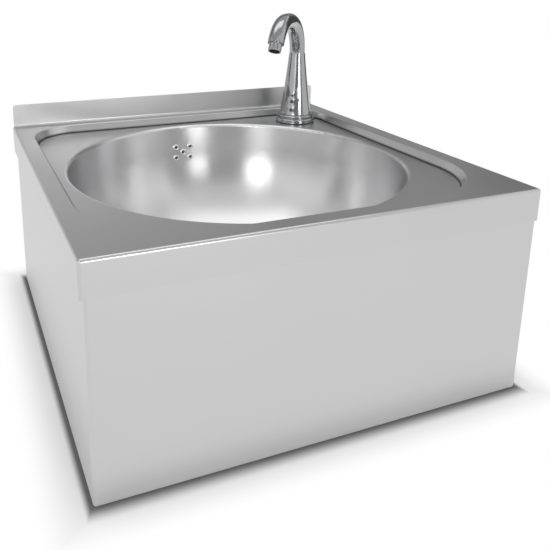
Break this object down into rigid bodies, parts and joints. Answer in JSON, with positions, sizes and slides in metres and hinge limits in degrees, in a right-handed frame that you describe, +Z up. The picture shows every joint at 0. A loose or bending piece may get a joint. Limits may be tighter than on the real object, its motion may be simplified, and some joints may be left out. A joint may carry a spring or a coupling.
{
  "type": "hand wash sink",
  "caption": "Square wall-hung stainless steel hand wash sink with a round bowl, splash upstand, rear overflow and a chrome sensor tap in the rear right corner.",
  "frame": {"origin": "middle of the casing's footprint, on the plane of its bottom rim", "axes": "+X to the right seen from the front, +Y towards the wall, +Z up"},
  "size_m": [0.4, 0.4, 0.3246],
  "materials": {
    "sheet_top": "fine satin grain",
    "sheet_bowl": "satin, lightly polished",
    "sheet_casing": "fine satin grain",
    "sheet_rail": "plain mill finish",
    "sheet_strainer": "polished",
    "polished_steel": "polished",
    "zinc_steel": "zinc plated",
    "tap_chrome": "mirror polished plating",
    "nickel_brass": "dull nickel plating",
    "brass": "turned",
    "rubber_black": "matt",
    "rubber_grey": "matt",
    "plastic_white": "moulded",
    "plastic_grey": "moulded, fine texture",
    "plastic_black": "moulded",
    "lens_dark": "polished",
    "lens_red": "polished",
    "hose_grey": "flexible, ribbed",
    "hose_braid": "woven wire braid",
    "lever_red": "dipped",
    "battery_sleeve": "plain sleeve",
    "board_green": "solder resist",
    "cable_black": "smooth sheath"
  },
  "bodies": {
    "sink": {"deck": "sheet_top", "bowl": "sheet_bowl", "casing": "sheet_casing", "rear_rail": "sheet_rail", "lower_rail": "sheet_rail", "valve_bracket": "sheet_rail", "overflow_seal": "rubber_grey", "overflow_housing": "plastic_white", "overflow_nuts": "zinc_steel", "overflow_hose": "hose_grey", "hose_clamps": "zinc_steel", "drain_seal": "rubber_black", "drain_strainer": "sheet_strainer", "drain_screw": "polished_steel", "drain_lower_seal": "rubber_black", "drain_body": "plastic_white", "tap_body": "tap_chrome", "tap_base_ring": "tap_chrome", "aerator_housing": "tap_chrome", "aerator_insert": "plastic_grey", "sensor_lenses": "lens_dark", "status_lens": "lens_red", "sensor_module": "plastic_black", "tap_base_gasket": "rubber_black", "tap_shank": "brass", "tap_seal_washer": "rubber_black", "tap_clamp_washer": "zinc_steel", "tap_lock_nut": "brass", "solenoid_body": "nickel_brass", "solenoid_coil": "plastic_black", "union_nut": "nickel_brass", "stop_valve_body": "nickel_brass", "hose_nuts": "nickel_brass", "tap_hose": "hose_braid", "bracket_screws": "zinc_steel", "control_box": "plastic_grey", "hinge_pin": "zinc_steel", "batteries": "battery_sleeve", "control_board": "board_green", "box_screws": "zinc_steel", "sensor_cable": "cable_black", "valve_cable": "cable_black", "cable_clips": "plastic_white"},
    "stop_valve_turning": {"stop_valve_stem": "brass", "stop_valve_handle": "lever_red", "handle_screw": "zinc_steel"},
    "battery_cover": {"battery_cover": "plastic_grey"},
    "solenoid_plunger": {"solenoid_plunger": "polished_steel"}
  },
  "joints": [
    {"name": "stop_valve_turn", "type": "hinge", "parent": "sink", "child": "stop_valve_turning", "pos_m": [0.031, 0.188, 0.088], "axis": [0, 1, 0], "range_deg": [0, 90]},
    {"name": "battery_cover_hinge", "type": "hinge", "parent": "sink", "child": "battery_cover", "pos_m": [-0.192, 0.16, 0.0678], "axis": [0, 1, 0], "range_deg": [0, 90]},
    {"name": "solenoid_plunger_slide", "type": "slide", "parent": "sink", "child": "solenoid_plunger", "axis": [0, 0, 1], "range_m": [0, 0.002], "stiffness_N_per_m": 500, "springref_m": -0.002}
  ]
}
